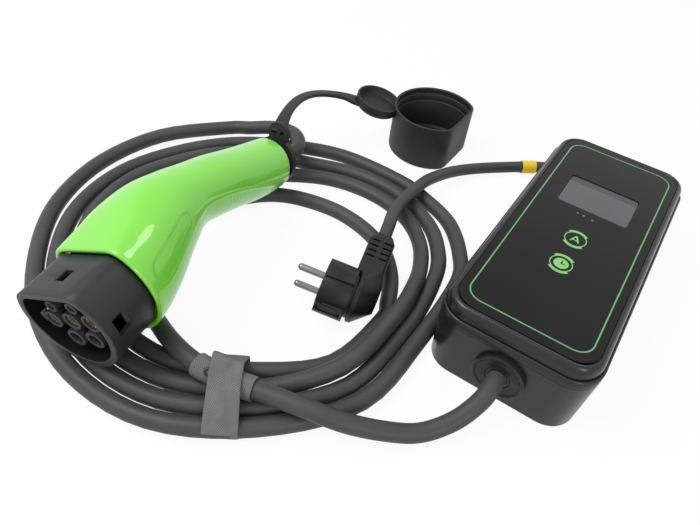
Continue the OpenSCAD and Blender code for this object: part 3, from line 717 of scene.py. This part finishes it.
def swept(frames, sides):
    bm = bmesh.new()
    ring = bmesh.ops.create_circle(bm, cap_ends=False, segments=sides, radius=1.0)["verts"]
    for n, (place, across, lift, wide, thick) in enumerate(frames):
        if n:
            ring = next_ring(bm, ring)
        for k, v in enumerate(ring):
            c = math.cos(2.0 * math.pi * (k + 0.5) / sides)
            s = math.sin(2.0 * math.pi * (k + 0.5) / sides)
            v.co = (place + across * (0.5 * wide * math.copysign(abs(c)**corner_power, c))
                    + lift * (0.5 * thick * math.copysign(abs(s)**corner_power, s)))
    bmesh.ops.holes_fill(bm, edges=[e for e in bm.edges if e.is_boundary], sides=0)
    bmesh.ops.recalc_face_normals(bm, faces=bm.faces)
    return bm


def turned(rings, sides):
    bm = bmesh.new()
    ring = bmesh.ops.create_circle(bm, cap_ends=False, segments=sides, radius=1.0)["verts"]
    for n, (radius, height) in enumerate(rings):
        if n:
            ring = next_ring(bm, ring)
        for k, v in enumerate(ring):
            turn = 2.0 * math.pi * k / sides
            v.co = (radius * math.cos(turn), radius * math.sin(turn), height)
    bmesh.ops.holes_fill(bm, edges=[e for e in bm.edges if e.is_boundary], sides=0)
    bmesh.ops.recalc_face_normals(bm, faces=bm.faces)
    return bm


def thicken(bm, height):
    grown = bmesh.ops.extrude_face_region(bm, geom=bm.faces[:], use_keep_orig=True)["geom"]
    raised = [g for g in grown if isinstance(g, bmesh.types.BMVert)]
    bmesh.ops.translate(bm, vec=(0.0, 0.0, height), verts=raised)
    bmesh.ops.recalc_face_normals(bm, faces=bm.faces)


def join(bm, other):
    spare = bpy.data.meshes.new("spare")
    other.to_mesh(spare)
    other.free()
    bm.from_mesh(spare)
    bpy.data.meshes.remove(spare)


upright = Vector((0.0, 0.0, 1.0))
tether_steps = 6
tether_thick = 3.5
tether_last = 9.999
tether_line = smooth_route([
    (-233.8, -41, 54.6), (-237.3, -32.5, 57.6), (-241.9, -20.6, 59), (-246.9, -5.8, 58),
    (-250.6, 10.1, 55.5), (-251.4, 25.9, 52), (-248.5, 39.1, 48.5), (-242.9, 49.3, 45.5),
    (-235.9, 57.5, 42.6), (-227.1, 63.2, 39.6), (-222.5, 66.6, 38.6)], tether_steps)
tether_wide = [13, 10.5, 8.8, 8.2, 8.2, 8.2, 8.2, 8.6, 9.8, 14, 18]
tether_frames = []
for i, p in enumerate(tether_line):
    heading = (tether_line[min(i + 1, len(tether_line) - 1)] - tether_line[max(i - 1, 0)]).normalized()
    across = heading.cross(upright).normalized()
    wide = read_off(list(enumerate(tether_wide)), min(i / tether_steps, tether_last))
    tether_frames.append((p, across, across.cross(heading), wide, tether_thick))
tether = swept(tether_frames, sides=24)

cap_at = Vector((-164.0, 98.0, 0.0))
cap_radius = 37.0
dish_gap = 0.1
dish_at = Vector((-211.4, 75.6, 38.0))
dish_rings = [
    (2.0, 33.0), (15.5, 33.0), (18.2, 33.5), (19.6, 34.8), (20.2, 36.5), (20.6, 42.0), (20.3, 42.9),
    (19.5, 43.2), (18.6, 42.9), (18.2, 42.0), (17.4, 38.0), (16.2, 36.4), (13.0, 36.0), (2.0, 36.0)]
dish = turned(dish_rings, sides=72)
to_cap = (cap_at.xy - dish_at.xy).normalized()
dish_lean = Matrix.Rotation(math.radians(12.0), 3, upright.cross(to_cap.to_3d()))
for v in dish.verts:
    v.co = dish_lean @ (v.co - upright * dish_at.z) + dish_at
    off = v.co.xy - cap_at.xy
    if off.length < cap_radius + dish_gap:
        v.co.xy = cap_at.xy + off.normalized() * (cap_radius + dish_gap)
join(tether, dish)

hoop_radius = 19.0
hoop_bore = 12.75
hoop_thick = 4.2
hoop_back = 10.0
hoop_turn = math.radians(25.0)
ear_off = 22.6
ear_size = 9.0
ear_hole = 1.9
hoop = bmesh.new()
hoop_edge = bmesh.ops.create_circle(hoop, cap_ends=False, segments=120, radius=hoop_radius)["verts"]
for v in hoop_edge:
    way = v.co.normalized()
    middle = -ear_off * way.y
    chord = ear_size**2 - ear_off**2 + middle * middle
    v.co = way * max(hoop_radius, middle + math.sqrt(chord) if chord > 0.0 and middle > 0.0 else 0.0)
bmesh.ops.create_circle(hoop, cap_ends=False, segments=72, radius=hoop_bore)
for hole_at in ((-3.7, -23.6, 0.0), (3.7, -23.6, 0.0)):
    bmesh.ops.create_circle(hoop, cap_ends=False, segments=20, radius=ear_hole,
                            matrix=Matrix.Translation(hole_at))
bmesh.ops.triangle_fill(hoop, use_beauty=True, use_dissolve=False, edges=hoop.edges)
thicken(hoop, hoop_thick)
on_collar = (handle_place @ Matrix.Translation(collar_at)
             @ Matrix.Rotation(collar_lean - math.radians(90.0), 4, "X")
             @ Matrix.Translation(upright * hoop_back) @ Matrix.Rotation(hoop_turn, 4, "Z"))
bmesh.ops.transform(hoop, verts=hoop.verts, matrix=on_collar)
join(tether, hoop)
to_metres(tether)
piece("cap_strap", tether, soft_rubber, ["cap_tether"], smooth=46.0)

# Dust cap: a soft cup of the nose's own outline that stands on its closed end.
# Its mouth has a flat rim and a step inside that seats on the nose.
cap_flat = 29.0
cap_height = 42.0
cap_steps = [
    (0.4, 0.0), (1.5, 0.0), (0.4, -0.4), (0.1, -4.6), (0.7, -0.2), (0.2, -0.3), (0.1, -6.0), (0.5, -0.2),
    (0.2, -0.3), (0.1, -25.5), (1.5, -1.0), (3.0, -0.2)]
cup = bmesh.new()
bmesh.ops.create_circle(cup, cap_ends=True, segments=120, radius=cap_radius)
for v in cup.verts:
    v.co.x = soft_cap(v.co.x, cap_flat, flat_blend)
thicken(cup, cap_height)
foot_ring = [e for e in cup.edges if all(v.co.z < 0.01 for v in e.verts)]
round_edges(cup, foot_ring, offset=2.4, segments=5)
raise_steps(cup, top_face(cup), cap_steps)
bmesh.ops.translate(cup, vec=cap_at, verts=cup.verts)
to_metres(cup)
nose_cap = piece("nose_cap", cup, soft_rubber, ["dust_cap"], smooth=50.0)
soften(nose_cap, width=0.0004, angle=40.0)

# Yellow sleeve: a short plastic tube pushed along the mains lead.
# It marks the lead near the box.
sleeve_plastic = surface("sleeve_plastic", (0.92, 0.62, 0.005), 0.38, patch=90.0, vary=0.07, grain=2500.0,
                         bump=0.1)
mark_sleeve = piece("mark_sleeve", take("lead_sleeve"), sleeve_plastic, ["lead_sleeve"],
                    smooth=50.0)

# Mains plug: a moulded head with two earth grooves, an angled back and a slotted tail on the lead.
# The pins are nickel plated and the earth strips are spring metal in the side grooves.
plug_plastic = surface("plug_plastic", (0.005, 0.005, 0.0054), 0.40, patch=45.0, vary=0.16, grain=1500.0,
                       bump=0.2, Specular_IOR_Level=0.30)
plug_nickel = surface("plug_nickel", (0.25, 0.246, 0.232), 0.24, patch=200.0, vary=0.05, grain=1200.0,
                      bump=0.0, depth=0.00005, Metallic=1.0)
earth_steel = surface("earth_steel", (0.030, 0.030, 0.028), 0.42, patch=500.0, vary=0.12, grain=1500.0,
                      bump=0.03, Metallic=1.0)
plug_merge = 0.0004
plug_round = 0.0007
tip_angles = (0.5, 1.1)
plug = take("plug_body")
merge_flat(plug, close=plug_merge)
plug_head = piece("plug_head", plug, plug_plastic, ["plug_body"], smooth=180.0)
soften(plug_head, width=plug_round)
pins = take("plug_pins")
pin_tips = [e for e in pins.edges if tip_angles[0] < e.calc_face_angle() < tip_angles[1]]
round_edges(pins, pin_tips, offset=plug_round, segments=4)
plug_prongs = piece("plug_prongs", pins, plug_nickel, ["plug_pins"])
earth_springs = piece("earth_springs", take("earth_strips"), earth_steel, ["earth_strips"])

# Cable strap: a band of woven hook and loop tape, wound first round the upper strand, then the bundle.
# It is cut from grey tape with an eyelet near its end and holds by its own hooks.
tape_weave = surface("tape_weave", (0.145, 0.141, 0.149), 0.85, patch=70.0, vary=0.22, grain=1300.0,
                     bump=0.6, depth=0.0006, Specular_IOR_Level=0.25)
eyelet_black = surface("eyelet_black", (0.012, 0.012, 0.013), 0.40, patch=300.0, vary=0.15, grain=3000.0,
                       bump=0.1)
weave_pitch = 1.5
weave_tree = tape_weave.node_tree
tape_map = weave_tree.nodes.new("ShaderNodeUVMap")
tape_map.uv_map = "tape"
threads = []
for way in (Vector((1.0, 0.0, 0.0)), Vector((0.0, 1.0, 0.0))):
    run = weave_tree.nodes.new("ShaderNodeVectorMath")
    run.operation = "DOT_PRODUCT"
    run.inputs[1].default_value = way * (2.0 * math.pi / weave_pitch)
    weave_tree.links.new(tape_map.outputs["UV"], run.inputs[0])
    wave = weave_tree.nodes.new("ShaderNodeMath")
    wave.operation = "SINE"
    weave_tree.links.new(run.outputs["Value"], wave.inputs[0])
    threads.append(wave)
crossing = weave_tree.nodes.new("ShaderNodeMath")
crossing.operation = "MULTIPLY"
weave_tree.links.new(threads[0].outputs[0], crossing.inputs[0])
weave_tree.links.new(threads[1].outputs[0], crossing.inputs[1])
thread_tone = weave_tree.nodes.new("ShaderNodeMapRange")
thread_tone.inputs["From Min"].default_value = -1.0
thread_tone.inputs["To Min"].default_value = 0.50
thread_tone.inputs["To Max"].default_value = 1.45
weave_tree.links.new(crossing.outputs[0], thread_tone.inputs["Value"])
tone_base(tape_weave, thread_tone.outputs["Result"])

tape_wide = 20.5
tape_thick = 1.5
tape_reach = 7.2
tape_rows = 218
tape_start = 30.0
tape_step = 2.0
overlap_row = 168.0
overlap_fade = 12.0
overlap_lift = 1.65
skew_degrees = -20.0
skew_from = 14.0
skew_fade = 12.0
bundle_at = Vector((-128.0, -223.2, 0.0))
bundle_turn = math.radians(-57.0)
outward = Vector((math.cos(bundle_turn), math.sin(bundle_turn), 0.0))
tape_along = Vector((-outward.y, outward.x, 0.0))
strands = [(-19.9, 8.0), (19.1, 8.0), (-10.0, 20.8), (0.4, 20.8)]
tape_frames = []
for k in range(tape_rows):
    angle = math.radians(tape_start + tape_step * k)
    c, s = math.cos(angle), math.sin(angle)
    near = max(strands, key=lambda q: q[0] * c + q[1] * s)
    reach = tape_reach + overlap_lift * step_up((k - overlap_row) / overlap_fade)
    middle = bundle_at + outward * (near[0] + reach * c) + upright * (near[1] + reach * s)
    skew_by = math.radians(skew_degrees * step_up((middle.z - skew_from) / skew_fade))
    skew = Matrix.Rotation(skew_by, 3, "Z")
    tape_frames.append((middle, skew @ tape_along, skew @ (outward * c + upright * s), tape_wide, tape_thick))


def map_tape(bm, place):
    layer = bm.loops.layers.uv.new("tape")
    for f in bm.faces:
        for corner in f.loops:
            corner[layer].uv = place[corner.vert]


def mapped_band(frames, sides):
    bm = swept(frames, sides)
    place = {}
    length = 0.0
    bm.verts.ensure_lookup_table()
    for n, (middle, across, lift, wide, thick) in enumerate(frames):
        length += (middle - frames[n - 1][0]).length if n else 0.0
        for v in bm.verts[n * sides:(n + 1) * sides]:
            place[v] = ((v.co - middle).dot(across), length)
    map_tape(bm, place)
    return bm


band = mapped_band(tape_frames, sides=16)
wound_outer = 7.6
wound_inner = 6.35
wound_sides = 48
through_strap = cable_route[7:12]
upper_strand = smooth_route(through_strap, steps=30)
for first, last in ((-150.5, -131.0), (-124.0, -112.5)):
    kept = [p for p in upper_strand if first <= p.x <= last]
    there = [(i, wound_outer) for i in range(len(kept))]
    back_again = [(i, wound_inner) for i in reversed(range(len(kept)))]
    wound = bmesh.new()
    place = {}
    ring = bmesh.ops.create_circle(wound, cap_ends=False, segments=wound_sides, radius=1.0)["verts"]
    for n, (i, radius) in enumerate(there + back_again):
        if n:
            ring = next_ring(wound, ring)
        heading = (kept[min(i + 1, len(kept) - 1)] - kept[max(i - 1, 0)]).normalized()
        across = heading.cross(upright).normalized()
        lift = across.cross(heading)
        for k, v in enumerate(ring):
            turn = 2.0 * math.pi * k / wound_sides
            v.co = kept[i] + across * (radius * math.cos(turn)) + lift * (radius * math.sin(turn))
            place[v] = ((kept[i] - kept[0]).length, wound_outer * (math.pi - abs(turn - math.pi)))
    bmesh.ops.bridge_loops(wound, edges=[e for e in wound.edges if e.is_boundary])
    bmesh.ops.recalc_face_normals(wound, faces=wound.faces)
    map_tape(wound, place)
    join(band, wound)
eyelet_x = -139.5
eyelet_rings = [(1.3, -0.5), (1.3, 0.5), (1.6, 0.9), (2.1, 0.9), (2.5, 0.5), (2.6, -0.8)]
eyelet = turned(eyelet_rings, sides=28)
facing = Vector((0.12, -0.55, 0.83)).normalized()
eyelet_at = min(upper_strand, key=lambda p: abs(p.x - eyelet_x)) + facing * wound_outer
eyelet_turn = facing.to_track_quat("Z", "Y").to_matrix().to_4x4()
bmesh.ops.transform(eyelet, verts=eyelet.verts, matrix=Matrix.Translation(eyelet_at) @ eyelet_turn)
for f in eyelet.faces:
    f.material_index = 1
join(band, eyelet)
to_metres(band)
bundle_strap = piece("bundle_strap", band, tape_weave, ["tie_strap"], smooth=50.0)
bundle_strap.data.materials.append(eyelet_black)
